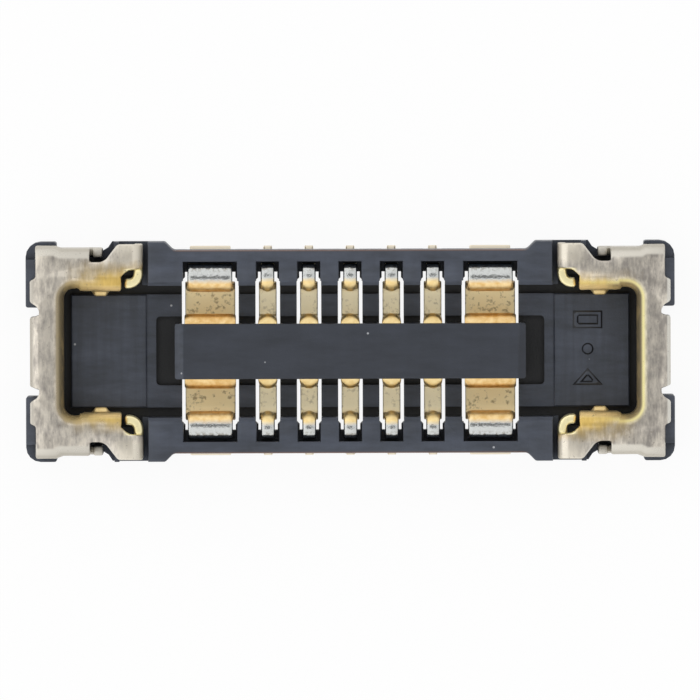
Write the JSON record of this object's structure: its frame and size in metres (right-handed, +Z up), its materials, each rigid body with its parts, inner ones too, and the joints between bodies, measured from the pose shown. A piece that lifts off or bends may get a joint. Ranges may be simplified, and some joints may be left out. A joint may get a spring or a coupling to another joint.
{
  "type": "fpc connector receptacle",
  "caption": "Low-profile board-to-FPC connector receptacle: slotted black housing, two rows of formed gold contacts and folded metal end fittings.",
  "frame": {"origin": "middle of the part's length and width, on the solder plane under the feet and tails", "axes": "+X along the contact rows, +Y across them towards row a, +Z up from the board towards the mating face"},
  "size_m": [0.0054, 0.0018, 0.0006],
  "materials": {
    "housing": "moulded, dark slate, satin",
    "contact": "gold plated, with rubbed silver-grey crests",
    "fitting": "plated, finely brushed, warmer on the folds"
  },
  "bodies": {
    "root": {"housing": "housing", "end_fitting_left": "fitting", "end_fitting_right": "fitting", "power_contact_a_left": "contact", "power_contact_a_right": "contact", "power_contact_b_left": "contact", "power_contact_b_right": "contact", "signal_contact_a1": "contact", "signal_contact_a2": "contact", "signal_contact_a3": "contact", "signal_contact_a4": "contact", "signal_contact_a5": "contact", "signal_contact_b1": "contact", "signal_contact_b2": "contact", "signal_contact_b3": "contact", "signal_contact_b4": "contact", "signal_contact_b5": "contact"}
  },
  "joints": []
}
